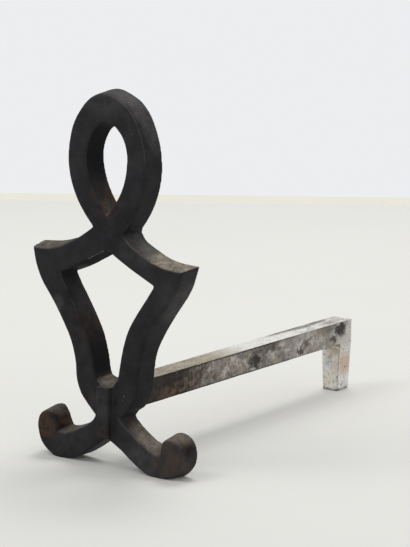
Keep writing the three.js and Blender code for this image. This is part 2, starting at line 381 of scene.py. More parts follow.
@dataclass(frozen=True)
class CastIronFinish:
    """Sand-cast iron, blackened by heat: dust where it faces up, rust in corners, painted shade and
    light.
    """

    name: str = "sand_cast_iron"
    charcoal: Colour = (0.0123, 0.0119, 0.0135)
    worn: Colour = (0.0250, 0.0241, 0.0264)
    # Painted shade: the near-black that darkens the walls of the hollows as if they lay in shade.
    near_black: Colour = (0.0042, 0.0039, 0.0040)
    # A smoke-grey that mostly serves as painted sheen where the iron catches the light.
    smoke_and_sheen: Colour = (0.056, 0.0535, 0.0525)
    rust: Colour = (0.060, 0.034, 0.021)
    dust: Colour = (0.300, 0.262, 0.210)
    grime: Colour = (0.195, 0.165, 0.124)
    # The grey of the painted highlights on the front edges.
    bright: Colour = (0.090, 0.088, 0.087)
    chipped: Colour = (0.280, 0.275, 0.280)
    grain_per_metre: float = 850.0
    dusty_places: tuple[Spot, ...] = (
        Spot((0.084, -0.215, 0.226), 0.036, 0.95, 0.75),
        Spot((0.056, -0.215, 0.234), 0.036, 0.16, 0.4),
        Spot((-0.093, -0.210, 0.232), 0.055, 0.42, 0.4),
        Spot((0.0, -0.215, 0.090), 0.028, 0.46, 0.5),
        Spot((0.051, -0.205, 0.033), 0.041, 0.62, 0.4),
        Spot((-0.052, -0.212, 0.033), 0.030, 0.24, 0.4),
        Spot((-0.080, -0.213, 0.050), 0.026, 0.26, 0.4),
        Spot((0.083, -0.211, 0.046), 0.030, 0.42, 0.4),
        Spot((0.0, -0.215, 0.276), 0.022, 0.35, 0.4),
    )
    rusty_places: tuple[Spot, ...] = (
        Spot((0.0, -0.208, 0.285), 0.036, 0.9, 0.3),
        Spot((-0.086, -0.228, 0.034), 0.026, 0.85, 0.3),
        Spot((-0.062, -0.212, 0.036), 0.024, 1.0, 0.4),
        Spot((0.082, -0.222, 0.024), 0.032, 0.72, 0.3),
        Spot((0.096, -0.2175, 0.046), 0.013, 0.80, 0.3),
        Spot((0.030, -0.205, 0.045), 0.026, 0.45, 0.3),
        Spot((-0.030, -0.212, 0.150), 0.034, 0.35, 0.3),
        Spot((0.0, -0.236, 0.038), 0.018, 0.5, 0.3),
        Spot((0.0, -0.205, 0.074), 0.040, 0.4, 0.3),
    )
    # Painted sheen and highlights with some smoke-grey: the loop's top and right wall, the face's
    # top, the right leg's side and the feet.
    smoke_and_sheen_places: tuple[Spot, ...] = (
        Spot((0.070, -0.230, 0.014), 0.054, 0.95, 0.5),
        Spot((0.040, -0.230, 0.030), 0.030, 0.18, 0.4),
        Spot((-0.045, -0.230, 0.020), 0.036, 0.22, 0.4),
        Spot((0.0, -0.230, 0.394), 0.036, 0.60, 0.3, (0.8, 1.0, 1.3)),
        Spot((0.030, -0.230, 0.376), 0.022, 0.26, 0.4),
        Spot((0.038, -0.230, 0.352), 0.036, 0.22, 0.4),
        Spot((-0.042, -0.230, 0.336), 0.034, 0.14, 0.4),
        Spot((0.0, -0.2150, 0.412), 0.046, 1.30, 0.4, (0.8, 1.0, 1.3)),
        Spot((0.036, -0.2110, 0.382), 0.031, 1.45, 0.65, (1.0, 1.6, 1.0)),
        Spot((0.047, -0.2110, 0.363), 0.032, 1.10, 0.4, (1.0, 1.7, 1.0)),
        Spot((0.030, -0.2150, 0.238), 0.026, 1.25, 0.5, (1.0, 1.3, 1.0)),
        Spot((0.050, -0.2140, 0.233), 0.028, 1.45, 0.6, (1.0, 1.4, 1.0)),
        Spot((0.090, -0.210, 0.190), 0.044, 1.0, 0.4, (1.0, 1.6, 1.0)),
        Spot((-0.063, -0.231, 0.170), 0.010, 0.8, 0.2, (1.0, 1.0, 0.7)),
        Spot((0.0, -0.236, 0.070), 0.026, 0.35, 0.3),
    )
    # Painted shade on the walls of the loop, the diamond and other hollows.
    shaded_recesses: tuple[Spot, ...] = (
        Spot((-0.004, -0.2175, 0.352), 0.036, 0.62, 0.72, (1.0, 0.3, 0.66)),
        Spot((-0.070, -0.2175, 0.214), 0.045, 0.45, 0.3),
        Spot((-0.024, -0.2175, 0.125), 0.045, 0.52, 0.3, (1.0, 1.0, 0.8)),
        Spot((-0.020, -0.2175, 0.226), 0.036, 0.85, 0.4),
        Spot((0.030, -0.2250, 0.082), 0.022, 0.35, 0.3),
        Spot((0.098, -0.2175, 0.033), 0.011, 0.75, 0.3, (1.0, 1.0, 0.8)),
        Spot((0.016, -0.2150, 0.262), 0.016, 0.60, 0.3),
    )
    # Painted highlights: light lines along parts of the front edges, two short ones on the left
    # arm's lower edge.
    edge_highlights: tuple[Spot, ...] = (
        Spot((0.024, FRONT_EDGE, 0.390), 0.034, 0.50, 0.5),
        Spot((0.046, FRONT_EDGE, 0.350), 0.030, 0.26, 0.4),
        Spot((0.022, FRONT_EDGE, 0.268), 0.024, 0.14, 0.4),
        Spot((-0.056, FRONT_EDGE, 0.182), 0.034, 0.20, 0.5),
        Spot((0.040, FRONT_EDGE, 0.239), 0.021, 0.62, 0.6),
        Spot((-0.020, FRONT_EDGE, 0.290), 0.018, 0.16, 0.4),
        Spot((0.030, FRONT_EDGE, 0.052), 0.020, 0.30, 0.4),
        Spot((0.062, FRONT_EDGE, 0.160), 0.030, 0.14, 0.4),
        Spot((-0.009, FRONT_EDGE, 0.2325), 0.008, 1.1, 0.6),
        Spot((-0.019, FRONT_EDGE, 0.2250), 0.007, 0.8, 0.6),
    )
    chips: tuple[Spot, ...] = (
        Spot((0.0255, FRONT_EDGE, 0.0815), 0.0010, 0.34, 0.4, (1.0, 1.0, 0.7)),
        Spot((0.0240, FRONT_EDGE, 0.0770), 0.0009, 0.26, 0.4),
        Spot((0.034, FRONT_EDGE, 0.3600), 0.0010, 0.25, 0.4),
        Spot((0.048, -0.2200, 0.3500), 0.0014, 0.4, 0.4),
    )

    def material(self) -> bpy.types.Material:
        """Builds the material.

        Returns:
            The finished material.
        """
        material, recipe = new_material(self.name)
        place = recipe.place()
        broad = recipe.noise(place, 16.0, 5.0, 0.6)
        patches = recipe.noise(place, 75.0, 5.0, 0.6)
        grain = recipe.noise(place, self.grain_per_metre, 3.0, 0.65)
        pits = recipe.pits(place, self.grain_per_metre * 0.4)
        mottle = (broad * 0.4 + patches * 0.35 + grain * 0.25).step(0.38, 0.64)
        colour = recipe.blend(mottle, self.charcoal, self.worn)
        clotted = patches.step(0.35, 0.62)
        flakes = (patches * 0.5 + recipe.noise(place, 190.0, 5.0, 0.68) * 0.5).step(0.44, 0.56)
        # Painted sheen with some smoke-grey, broken into clots.
        smoke_and_sheen_clots = 0.46 + clotted * 0.28 + flakes * 0.30
        smoke_and_sheen = recipe.spots(place, self.smoke_and_sheen_places) * smoke_and_sheen_clots
        colour = recipe.blend(smoke_and_sheen * (0.5 + grain * 0.7), colour, self.smoke_and_sheen)
        faces_front = recipe.facing(Axis.Y)
        # Painted shade on the walls of the hollows, kept off the front face.
        recess_shade = recipe.spots(place, self.shaded_recesses) * (0.8 + clotted * 0.2)
        recess_shade = recess_shade * faces_front.step(0.80, 0.40)
        colour = recipe.blend(recess_shade, colour, self.near_black)
        rusty = recipe.spots(place, self.rusty_places) * (0.12 + flakes * 0.88)
        colour = recipe.blend(rusty, colour, self.rust)
        arris = faces_front.step(0.34, 0.56) * faces_front.step(0.93, 0.78)
        # Painted highlight along the rounded front edges.
        edge_highlight = arris * recipe.spots(place, self.edge_highlights) * patches.step(0.26, 0.50)
        colour = recipe.blend(edge_highlight, colour, self.bright)
        dusty = self._dust_mask(recipe, place, patches, grain)
        crumbs = recipe.noise(place, 120.0, 6.0, 0.72).step(0.40, 0.58)
        colour = recipe.blend(dusty, colour, recipe.blend(crumbs, self.grime, self.dust))
        colour = recipe.blend(recipe.spots(place, self.chips), colour, self.chipped)
        specks = recipe.noise(place, 420.0, 2.0, 0.5).step(0.75, 0.79)
        colour = recipe.blend(specks * 0.35, colour, self.dust)
        roughness = 0.48 + broad * 0.16 + dusty * 0.3 + rusty * 0.15 + recess_shade * 0.40
        height = grain * 0.5 + pits * 0.3 + patches * 0.4
        Surface(colour, roughness, height, specular=0.10, relief=0.4 * MM).dress()
        return material

    def _dust_mask(self, recipe: Recipe, place: Value, patches: Value, grain: Value) -> Value:
        """How dusty the iron is: only what faces up, most on the right shoulder's end.

        Args:
            recipe: The material.
            place: The place on the object.
            patches: Noise with clouds of about a centimetre.
            grain: The grain of the casting.

        Returns:
            A mask from 0 to 1.
        """
        lies = recipe.upward().step(0.25, 0.9)
        streaks = recipe.noise(recipe.stretched(place, (1.0, 0.45, 1.0)), 300.0, 5.0, 0.7)
        patchy = (patches * 0.35 + streaks * 0.45 + grain * 0.2).step(0.38, 0.60)
        lying = recipe.spots(place, self.dusty_places, (streaks - 0.5) * 0.02).highest(0.05)
        return (lies * lying * (0.42 + patchy * 0.78)).clamped()


@dataclass(frozen=True)
class BarFinish:
    """Forged bar that lay in the fire: rusty brown by the figure, grey with ash further back."""

    name: str = "ashy_bar"
    scale_black: Colour = (0.022, 0.019, 0.018)
    brown: Colour = (0.062, 0.046, 0.036)
    rust: Colour = (0.175, 0.105, 0.064)
    scorched: Colour = (0.075, 0.056, 0.042)
    tan: Colour = (0.330, 0.262, 0.195)
    dark_grey: Colour = (0.115, 0.106, 0.100)
    ash: Colour = (0.315, 0.288, 0.252)
    pale: Colour = (0.58, 0.55, 0.50)
    chalk: Colour = (0.60, 0.58, 0.53)
    cream: Colour = (0.430, 0.380, 0.295)
    sand: Colour = (0.17, 0.14, 0.10)
    white: Colour = (0.795, 0.78, 0.73)
    near_black: Colour = (0.032, 0.029, 0.030)
    blotches: tuple[Spot, ...] = (
        Spot((BAR_SIDE, 0.031, 0.071), 0.0115, 1.0, 0.45, (1.0, 0.8, 1.0)),
        Spot((BAR_SIDE, 0.124, 0.067), 0.0080, 0.9, 0.3, (1.0, 0.8, 1.0)),
        Spot((BAR_SIDE, 0.137, 0.0735), 0.0070, 0.7, 0.3, (1.0, 0.5, 1.0)),
        Spot((BAR_SIDE, 0.215, 0.079), 0.0120, 1.0, 0.45, (1.0, 0.75, 0.95)),
        Spot((BAR_SIDE, 0.198, 0.069), 0.0060, 0.8, 0.3, (1.0, 0.6, 1.0)),
        Spot((BAR_SIDE, 0.055, 0.084), 0.0200, 0.6, 0.2, (1.0, 0.45, 1.9)),
        Spot((BAR_SIDE, 0.190, 0.084), 0.0200, 0.5, 0.2, (1.0, 0.6, 1.9)),
        Spot((BAR_SIDE, 0.090, 0.064), 0.0120, 0.35, 0.2, (1.0, 0.5, 1.6)),
        Spot((-BAR_SIDE, -0.02, 0.073), 0.0150, 0.8, 0.3),
        Spot((-BAR_SIDE, 0.100, 0.066), 0.0110, 0.8, 0.3),
    )
    dark_streaks: tuple[Spot, ...] = (
        Spot((-0.0120, 0.131, BAR_TOP), 0.0090, 0.8, 0.3, (1.0, 0.13, 1.0)),
        Spot((-0.0070, 0.158, BAR_TOP), 0.0080, 0.75, 0.3, (1.0, 0.2, 1.0)),
        Spot((-0.0100, 0.192, BAR_TOP), 0.0085, 0.7, 0.3, (1.0, 0.2, 1.0)),
        Spot((0.0040, 0.205, BAR_TOP), 0.0080, 0.5, 0.3, (1.0, 0.25, 1.0)),
    )

    def material(self) -> bpy.types.Material:
        """Builds the material.

        Returns:
            The finished material.
        """
        material, recipe = new_material(self.name)
        place = recipe.place()
        along = recipe.row(place, Axis.Y)
        height = recipe.row(place, Axis.Z)
        drawn_out = recipe.stretched(place, (1.0, 0.6, 0.85))
        clouds = recipe.noise(drawn_out, 85.0, 7.0, 0.66)
        mottle = recipe.noise(drawn_out, 210.0, 6.0, 0.7)
        speckle = recipe.noise(recipe.stretched(place, (1.0, 1.0, 0.6)), 480.0, 3.0, 0.7)
        scale = recipe.noise(recipe.stretched(place, (1.0, 1.0, 0.4)), 240.0, 5.0, 0.65)
        fine = clouds * 0.35 + mottle * 0.30 + speckle * 0.15 + scale * 0.20
        burnt = recipe.blend(fine.step(0.44, 0.60), self.scale_black, self.brown)
        low = height.step(0.080, 0.062) * along.step(-0.170, -0.115)
        flaked = (clouds * 0.5 + mottle * 0.5).step(0.42, 0.56)
        burnt = recipe.blend(low * flaked * 0.9, burnt, self.rust)
        ashen = recipe.blend(fine.step(0.41, 0.54), self.dark_grey, self.ash)
        ashen = recipe.blend((clouds * 0.5 + mottle * 0.5).step(0.50, 0.62), ashen, self.pale)
        ashen = recipe.blend(along.step(0.050, 0.120) * 0.28, ashen, self.pale)
        warm = recipe.noise(drawn_out, 48.0, 3.0, 0.5).step(0.46, 0.62)
        ashen = recipe.blend(warm * mottle.step(0.40, 0.60) * 0.6, ashen, self.tan)
        ashen = recipe.blend(speckle.step(0.57, 0.66) * 0.75, ashen, self.near_black)
        half_burnt = recipe.blend(fine.step(0.44, 0.56), self.scorched, self.dark_grey)
        flaky = (scale * 0.5 + mottle * 0.5).step(0.46, 0.60)
        half_burnt = recipe.blend(flaky * 0.5, half_burnt, self.tan)
        uneven_fade = (clouds - 0.5) * 0.050 + (scale - 0.5) * 0.045
        faded = along + uneven_fade
        colour = recipe.blend(faded.step(-0.118, -0.080), burnt, half_burnt)
        colour = recipe.blend(faded.step(-0.085, -0.048), colour, ashen)
        at_leg = height.step(0.077, 0.062) * along.step(0.196, 0.216)
        end = along.step(0.221, 0.229).highest(at_leg)
        colour = recipe.blend(end * (0.62 + mottle * 0.5), colour, self.chalk)
        frayed = (mottle - 0.5) * 0.026 + (speckle - 0.5) * 0.012
        near_black = recipe.spots(place, self.blotches, frayed)
        colour = recipe.blend(near_black * 0.94, colour, self.near_black)
        # Dark lines along the sides: scale just under the top edge, and painted shade along the
        # shadowed lower edge.
        scale_and_shade_lines = height.step(0.0845, 0.0866).highest(height.step(0.0622, 0.0604))
        scale_and_shade_lines = scale_and_shade_lines * mottle.step(0.36, 0.50) * (1.0 - along.step(0.05, 0.13) * 0.8)
        scale_and_shade_lines = scale_and_shade_lines * (1.0 - along.step(0.195, 0.212))
        colour = recipe.blend(scale_and_shade_lines * 0.8, colour, self.scale_black)
        colour = self._top(recipe, place, along, colour, (clouds, mottle, speckle))
        roughness = 0.66 + speckle * 0.25
        relief = clouds * 0.5 + mottle * 0.4 + speckle * 0.35
        Surface(colour, roughness, relief, specular=0.22, relief=0.7 * MM).dress()
        return material

    def _top(
        self,
        recipe: Recipe,
        place: Value,
        along: Value,
        colour: Value,
        noises: tuple[Value, Value, Value],
    ) -> Value:
        """Lays ash on the top of the bar and leaves dark iron along its worn edges.

        Args:
            recipe: The material.
            place: The place on the object.
            along: The place along the bar.
            colour: The colour so far.
            noises: The bar's noises, from wide to fine.

        Returns:
            The colour with the top and the edges.
        """
        clouds, mottle, speckle = noises
        lies = recipe.upward().step(0.55, 0.9)
        whitened = along.step(-0.075, 0.055)
        blend_in = (whitened * 1.3 + (mottle - 0.5) * 1.2 - 0.2).clamped()
        top = recipe.blend(blend_in, self.cream, self.white)
        bare = recipe.blend(whitened, self.sand, self.ash)
        worn = (clouds * 0.3 + mottle * 0.35 + speckle * 0.35).step(0.46, 0.56)
        rubbed_away = 0.62 - whitened * 0.34 + along.step(0.105, 0.150) * 0.50
        top = recipe.blend(worn * rubbed_away, top, bare)
        top = recipe.blend(speckle.step(0.56, 0.66) * 0.45, top, self.brown)
        streaks = recipe.spots(place, self.dark_streaks, (mottle - 0.5) * 0.012)
        top = recipe.blend(streaks * (0.5 + clouds), top, self.dark_grey)
        colour = recipe.blend(lies, colour, top)
        edge = recipe.arris() * mottle.step(0.32, 0.48) * (1.0 - along.step(0.07, 0.14) * 0.75)
        return recipe.blend(edge * 0.9, colour, self.scale_black)


@dataclass(frozen=True)
class LegFinish:
    """The rear leg: white with ash, tinted yellow and rose, and dark along its worn edges."""

    name: str = "ashy_leg"
    foot_half_width: float = 10.5 * MM
    ash: Colour = (0.66, 0.63, 0.57)
    pale: Colour = (0.88, 0.865, 0.815)
    dark_speck: Colour = (0.20, 0.18, 0.155)
    like_the_bar: Colour = (0.60, 0.575, 0.52)
    yellow: Colour = (0.50, 0.43, 0.28)
    rose: Colour = (0.62, 0.45, 0.34)
    blue: Colour = (0.48, 0.50, 0.54)
    black: Colour = (0.050, 0.044, 0.040)
    yellow_places: tuple[Spot, ...] = (
        Spot((0.004, 0.213, 0.052), 0.014, 0.75, 0.3),
        Spot((-0.004, 0.213, 0.016), 0.016, 0.45, 0.3),
    )
    rose_places: tuple[Spot, ...] = (Spot((0.0128, 0.227, 0.032), 0.019, 1.0, 0.35),)
    blue_places: tuple[Spot, ...] = (Spot((-0.004, 0.213, 0.033), 0.010, 0.7, 0.3),)
    arris_on_front: tuple[float, float] = (2.0 * MM, 0.6 * MM)
    arris_on_side: tuple[float, float] = (2.2 * MM, 0.8 * MM)

    def material(self) -> bpy.types.Material:
        """Builds the material.

        Returns:
            The finished material.
        """
        material, recipe = new_material(self.name)
        place = recipe.place()
        upright = recipe.stretched(place, (1.0, 1.0, 0.6))
        clouds = recipe.noise(upright, 130.0, 5.0, 0.6)
        speckle = recipe.noise(place, 330.0, 3.0, 0.7)
        height = recipe.row(place, Axis.Z)
        low = height.step(0.046, 0.010)
        colour = recipe.blend(clouds.step(0.35, 0.65) * 0.6 + low * 0.4, self.ash, self.pale)
        colour = recipe.blend(height.step(0.048, 0.060) * 0.7, colour, self.like_the_bar)
        for places, tint in (
            (self.yellow_places, self.yellow),
            (self.rose_places, self.rose),
            (self.blue_places, self.blue),
        ):
            here = recipe.spots(place, places, (clouds - 0.5) * 0.01)
            colour = recipe.blend(here * (0.5 + speckle * 0.6), colour, tint)
        # Dark specks in the ash.
        colour = recipe.blend(speckle.step(0.54, 0.66) * 0.55, colour, self.dark_speck)
        colour = recipe.blend(speckle.step(0.64, 0.69) * 0.8, colour, self.black)
        rim = height.step(0.0045, 0.0015) * clouds.step(0.35, 0.55)
        arris = self._front_arris(recipe, place, height) * clouds.step(0.36, 0.50)
        worn = (arris * 0.7).highest(rim).highest(recipe.arris() * clouds.step(0.38, 0.55))
        colour = recipe.blend(worn * (0.35 + speckle * 0.8), colour, self.black)
        roughness = 0.72 + speckle * 0.2
        relief = clouds * 0.6 + speckle * 0.5
        Surface(colour, roughness, relief, specular=0.2, relief=0.7 * MM).dress()
        return material

    def _front_arris(self, recipe: Recipe, place: Value, height: Value) -> Value:
        """The worn edge between the front and the right side of the leg.

        Args:
            recipe: The material.
            place: The place on the object.
            height: The height above the hearth.

        Returns:
            A mask from 0 to 1.
        """
        low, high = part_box("rear_leg")
        middle = (low.x + high.x) / 2
        taper = (high.x - middle - self.foot_half_width) / high.z
        side = height * taper + (middle + self.foot_half_width)
        starts, full = self.arris_on_front
        beside = (recipe.row(place, Axis.X) - side).step(-starts, -full)
        starts, full = self.arris_on_side
        return beside * recipe.row(place, Axis.Y).step(low.y + starts, low.y + full)


@dataclass(frozen=True)
class WeldFinish:
    """A rusted weld bead with a dusting of ash."""

    name: str = "rusted_weld"
    rust: Colour = (0.28, 0.22, 0.13)
    ash: Colour = (0.70, 0.66, 0.55)

    def material(self) -> bpy.types.Material:
        """Builds the material.

        Returns:
            The finished material.
        """
        material, recipe = new_material(self.name)
        place = recipe.place()
        clouds = recipe.noise(place, 240.0, 5.0, 0.6)
        colour = recipe.blend(clouds.step(0.4, 0.62), self.rust, self.ash)
        roughness = 0.65 + clouds * 0.25
        Surface(colour, roughness, clouds, specular=0.3, relief=0.5 * MM).dress()
        return material


@dataclass(frozen=True)
class CrustFinish:
    """The flaking rust on a lump of iron."""

    name: str = "rust_crust"
    dark: Colour = (0.020, 0.016, 0.014)
    rust: Colour = (0.11, 0.058, 0.034)

    def material(self) -> bpy.types.Material:
        """Builds the material.

        Returns:
            The finished material.
        """
        material, recipe = new_material(self.name)
        flakes = recipe.noise(recipe.place(), 380.0, 5.0, 0.7)
        colour = recipe.blend(flakes.step(0.42, 0.6), self.dark, self.rust)
        roughness = 0.7 + flakes * 0.25
        Surface(colour, roughness, flakes, specular=0.2, relief=0.8 * MM).dress()
        return material


# ------------------------------------------------------------------ pieces


def finished_piece(
    mesh: bmesh.types.BMesh, name: str, node: str = ""
) -> bpy.types.Object:
    """Makes an object of a finished mesh and places it in the frame.

    Args:
        mesh: The mesh, in the row frame. It is freed.
        name: The piece's name.
        node: The solid that the piece replaces, if it replaces one.

    Returns:
        The object.
    """
    bmesh.ops.recalc_face_normals(mesh, faces=mesh.faces)
    data = bpy.data.meshes.new(name)
    mesh.to_mesh(data)
    mesh.free()
    for polygon in data.polygons:
        polygon.use_smooth = True
    piece = bpy.data.objects.new(name, data)
    bpy.context.scene.collection.objects.link(piece)
    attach(piece, BODY)
    if node:
        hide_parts(node)
    return piece


def cut_across(mesh: bmesh.types.BMesh, axis: Axis, low: float, high: float, step: float) -> None:
    """Cuts a mesh by parallel planes, so that it can take a finer shape.

    Args:
        mesh: The mesh.
        axis: The axis that the planes stand across.
        low: The lowest end of the stretch to cut.
        high: Its highest end.
        step: The distance between planes.
    """
    normal = Vector((0.0, 0.0, 0.0))
    normal[axis.value] = 1.0
    count = max(1, round((high - low) / step))
    for index in range(1, count):
        point = normal * (low + (high - low) * index / count)
        parts = [*mesh.verts, *mesh.edges, *mesh.faces]
        bmesh.ops.bisect_plane(
            mesh, geom=parts, plane_co=point, plane_no=normal, dist=CUT_TOLERANCE
        )


def uneven(piece: bpy.types.Object, size: float, depth: float, level: float = 1.0) -> None:
    """Gives a piece the slight unevenness of forged or cast iron.

    Args:
        piece: The piece.
        size: The width of a dent, in metres.
        depth: The height from its deepest to its highest places.
        level: How much of that height lies inside the drawn surface.
    """
    texture = bpy.data.textures.new(f"{piece.name}_dents", "CLOUDS")
    texture.noise_scale = size
    texture.noise_depth = 2
    dents = piece.modifiers.new(f"dents_{round(size / MM)}", "DISPLACE")
    dents.texture = texture
    dents.texture_coords = "LOCAL"
    dents.mid_level = level
    dents.strength = depth


@dataclass
class FrontFigure:
    """The casting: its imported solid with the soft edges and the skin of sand-cast iron."""

    finish: CastIronFinish = field(default_factory=CastIronFinish)
    node: str = "front_figure"
    merge: float = 0.01 * MM
    cell: float = 1.22 * MM
    softness: float = 0.5
    smoothing: int = 1

    def build(self) -> bpy.types.Object:
        """Softens and dresses the casting.

        Returns:
            The casting's object.
        """
        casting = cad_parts[self.node]
        weld = casting.modifiers.new("join_corners", "WELD")
        weld.merge_threshold = self.merge
        skin = casting.modifiers.new("cast_skin", "REMESH")
        skin.mode = "VOXEL"
        skin.voxel_size = self.cell
        skin.use_smooth_shade = True
        soft = casting.modifiers.new("soft_edges", "SMOOTH")
        soft.factor = self.softness
        soft.iterations = self.smoothing
        uneven(casting, size=20 * MM, depth=0.45 * MM, level=0.7)
        uneven(casting, size=4 * MM, depth=0.14 * MM, level=0.7)
        casting.data.materials.clear()
        casting.data.materials.append(self.finish.material())
        return casting


@dataclass
class LogBar:
    """The forged square bar, with worn edges and the tenon that the casting holds."""

    finish: BarFinish = field(default_factory=BarFinish)
    node: str = "log_bar"
    edge: float = 1.0 * MM
    step: float = 3.5 * MM
    gap_behind_casting: float = 0.3 * MM
    tenon_inset: float = 6.5 * MM
    tail_flare: float = 1.25

    def build(self) -> bpy.types.Object:
        """Builds the bar.

        Returns:
            The bar's object.
        """
        low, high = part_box(self.node)
        casting_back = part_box("front_figure")[1].y
        start = Vector((low.x, casting_back + self.gap_behind_casting, low.z))
        mesh = block(start, high)
        self._draw_tenon(mesh, start.y, low.y)
        half_length = (high.y - start.y) / 2
        worn_edges = [
            edge
            for edge in mesh.edges
            if abs(edge.verts[0].co.y - edge.verts[1].co.y) > half_length
            or all(vert.co.y > high.y - SAME_PLACE for vert in edge.verts)
        ]
        round_edges(mesh, worn_edges, self.edge)
        for axis in Axis:
            cut_across(mesh, axis, start[axis.value], high[axis.value], self.step)
        bar = finished_piece(mesh, "forged_bar", self.node)
        forged(bar)
        bar.data.materials.append(self.finish.material())
        return bar

    def _draw_tenon(self, mesh: bmesh.types.BMesh, front: float, end: float) -> None:
        """Draws the tenon out of the bar's front end.

        Args:
            mesh: The bar.
            front: Where its full section ends.
            end: Where the tenon ends.
        """
        face = min(mesh.faces, key=lambda f: f.calc_center_median().y)
        bmesh.ops.inset_region(mesh, faces=[face], thickness=self.tenon_inset, depth=0.0)
        draw_out(mesh, face, (0.0, end - front, 0.0), (self.tail_flare, 1.0, 1.0))


def block(low: Vector, high: Vector) -> bmesh.types.BMesh:
    """A box between two corners.

    Args:
        low: Its lowest corner.
        high: Its highest corner.

    Returns:
        The mesh.
    """
    mesh = bmesh.new()
    size = high - low
    stretch = Matrix.Diagonal((*size, 1.0))
    bmesh.ops.create_cube(mesh, size=1.0, matrix=Matrix.Translation((low + high) / 2) @ stretch)
    return mesh


def round_edges(mesh: bmesh.types.BMesh, edges: list[bmesh.types.BMEdge], radius: float) -> None:
    """Rounds edges of a mesh.

    Args:
        mesh: The mesh.
        edges: The edges.
        radius: The width of the rounding.
    """
    bmesh.ops.bevel(
        mesh,
        geom=edges,
        offset=radius,
        offset_type="OFFSET",
        affect="EDGES",
        segments=3,
        profile=0.5,
        material=-1,
        clamp_overlap=True,
    )


def verts_of(made: dict[str, Any]) -> list[bmesh.types.BMVert]:
    """The vertices that an extrusion made."""
    return [part for part in made["geom"] if isinstance(part, bmesh.types.BMVert)]


def draw_out(mesh: bmesh.types.BMesh, face: bmesh.types.BMFace, move: Rows, flare: Rows) -> None:
    """Draws a face out of a solid, and makes its end wider or narrower.

    Args:
        mesh: The solid.
        face: The face.
        move: How far and which way it is drawn.
        flare: How many times as wide its end becomes along each axis.
    """
    end = verts_of(bmesh.ops.extrude_face_region(mesh, geom=[face]))
    bmesh.ops.delete(mesh, geom=[face], context="FACES_ONLY")
    bmesh.ops.translate(mesh, vec=Vector(move), verts=end)
    middle = sum((vert.co for vert in end), Vector()) / len(end)
    bmesh.ops.scale(mesh, vec=Vector(flare), space=Matrix.Translation(-middle), verts=end)


def forged(piece: bpy.types.Object) -> None:
    """Gives the bar and its leg the same hammered skin, so that they stay flush where they meet.

    Args:
        piece: The bar or the leg.
    """
    finer = piece.modifiers.new("finer", "SUBSURF")
    finer.subdivision_type = "SIMPLE"
    finer.levels = finer.render_levels = 1
    uneven(piece, size=30 * MM, depth=0.45 * MM)
    uneven(piece, size=5 * MM, depth=0.25 * MM)


@dataclass
class RearLeg:
    """The tapered leg under the far end of the bar, ground flush with it."""

    finish: LegFinish = field(default_factory=LegFinish)
    node: str = "rear_leg"
    foot_width: float = 21.0 * MM
    edge: float = 0.9 * MM
    step: float = 3.5 * MM
    rooted: float = 1.4 * MM
    flush: float = 0.05 * MM

    def build(self) -> bpy.types.Object:
        """Builds the leg.

        Returns:
            The leg's object.
        """
        low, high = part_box(self.node)
        mesh = block(low, high)
        foot = [vert for vert in mesh.verts if vert.co.z < low.z + SAME_PLACE]
        middle = (low + high) / 2
        narrow = Vector((self.foot_width / (high.x - low.x), 1.0, 1.0))
        bmesh.ops.scale(mesh, vec=narrow, space=Matrix.Translation(-middle), verts=foot)
        self._root(mesh, high - low)
        side_edges = [edge for edge in mesh.edges if min(v.co.z for v in edge.verts) < high.z - MM]
        round_edges(mesh, side_edges, self.edge)
        for axis in Axis:
            cut_across(mesh, axis, low[axis.value], high[axis.value], self.step)
        leg = finished_piece(mesh, "tapered_leg", self.node)
        forged(leg)
        leg.data.materials.append(self.finish.material())
        return leg

    def _root(self, mesh: bmesh.types.BMesh, size: Vector) -> None:
        """Raises the top into the rounded lower edges of the bar, as the weld does.

        Args:
            mesh: The leg.
            size: How wide, deep and high it is.
        """
        top = max(mesh.faces, key=lambda f: f.calc_center_median().z)
        shrink = (1 - 2 * self.flush / size.x, 1 - 2 * self.flush / size.y, 1.0)
        draw_out(mesh, top, (0.0, 0.0, self.rooted), shrink)


@dataclass
class LegWeld:
    """The rippled bead in the corner between the bar and the leg."""

    finish: WeldFinish = field(default_factory=WeldFinish)
    node: str = "leg_weld"
    ripple: float = 1.9 * MM
    drawn_in: float = 0.86
    wider: float = 1.1 * MM
    sides: int = 28

    def build(self) -> bpy.types.Object:
        """Builds the bead.

        Returns:
            The bead's object.
        """
        low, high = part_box(self.node)
        low.x, high.x = low.x - self.wider, high.x + self.wider
        mesh = bmesh.new()
        length = high.x - low.x
        radius = high.z - low.z
        turned = Matrix.Rotation(math.pi / 2, 4, "Y")
        corner = Vector(((low.x + high.x) / 2, high.y, high.z))
        bmesh.ops.create_cone(
            mesh,
            cap_ends=True,
            segments=self.sides,
            radius1=radius,
            radius2=radius,
            depth=length,
            matrix=Matrix.Translation(corner) @ turned,
        )
        cut_across(mesh, Axis.X, low.x, high.x, self.ripple / 2)
        self._ripple(mesh, corner, low.x)
        for normal in (Vector((0, 1, 0)), Vector((0, 0, 1))):
            parts = [*mesh.verts, *mesh.edges, *mesh.faces]
            cut = bmesh.ops.bisect_plane(
                mesh, geom=parts, plane_co=corner, plane_no=normal, clear_outer=True
            )
            rim = [part for part in cut["geom_cut"] if isinstance(part, bmesh.types.BMEdge)]
            bmesh.ops.holes_fill(mesh, edges=rim)
        bead = finished_piece(mesh, "weld_bead", self.node)
        uneven(bead, size=6 * MM, depth=0.6 * MM)
        bead.data.materials.append(self.finish.material())
        return bead

    def _ripple(self, mesh: bmesh.types.BMesh, corner: Vector, start: float) -> None:
        """Draws in every second ring of the bead.

        Args:
            mesh: The bead.
            corner: A point on its axis.
            start: Where its first end lies along X.
        """
        rings: dict[int, list[bmesh.types.BMVert]] = {}
        for vert in mesh.verts:
            rings.setdefault(round((vert.co.x - start) / (self.ripple / 2)), []).append(vert)
        for index, ring in rings.items():
            if index % 2:
                narrow = Vector((1.0, self.drawn_in, self.drawn_in))
                bmesh.ops.scale(mesh, vec=narrow, space=Matrix.Translation(-corner), verts=ring)


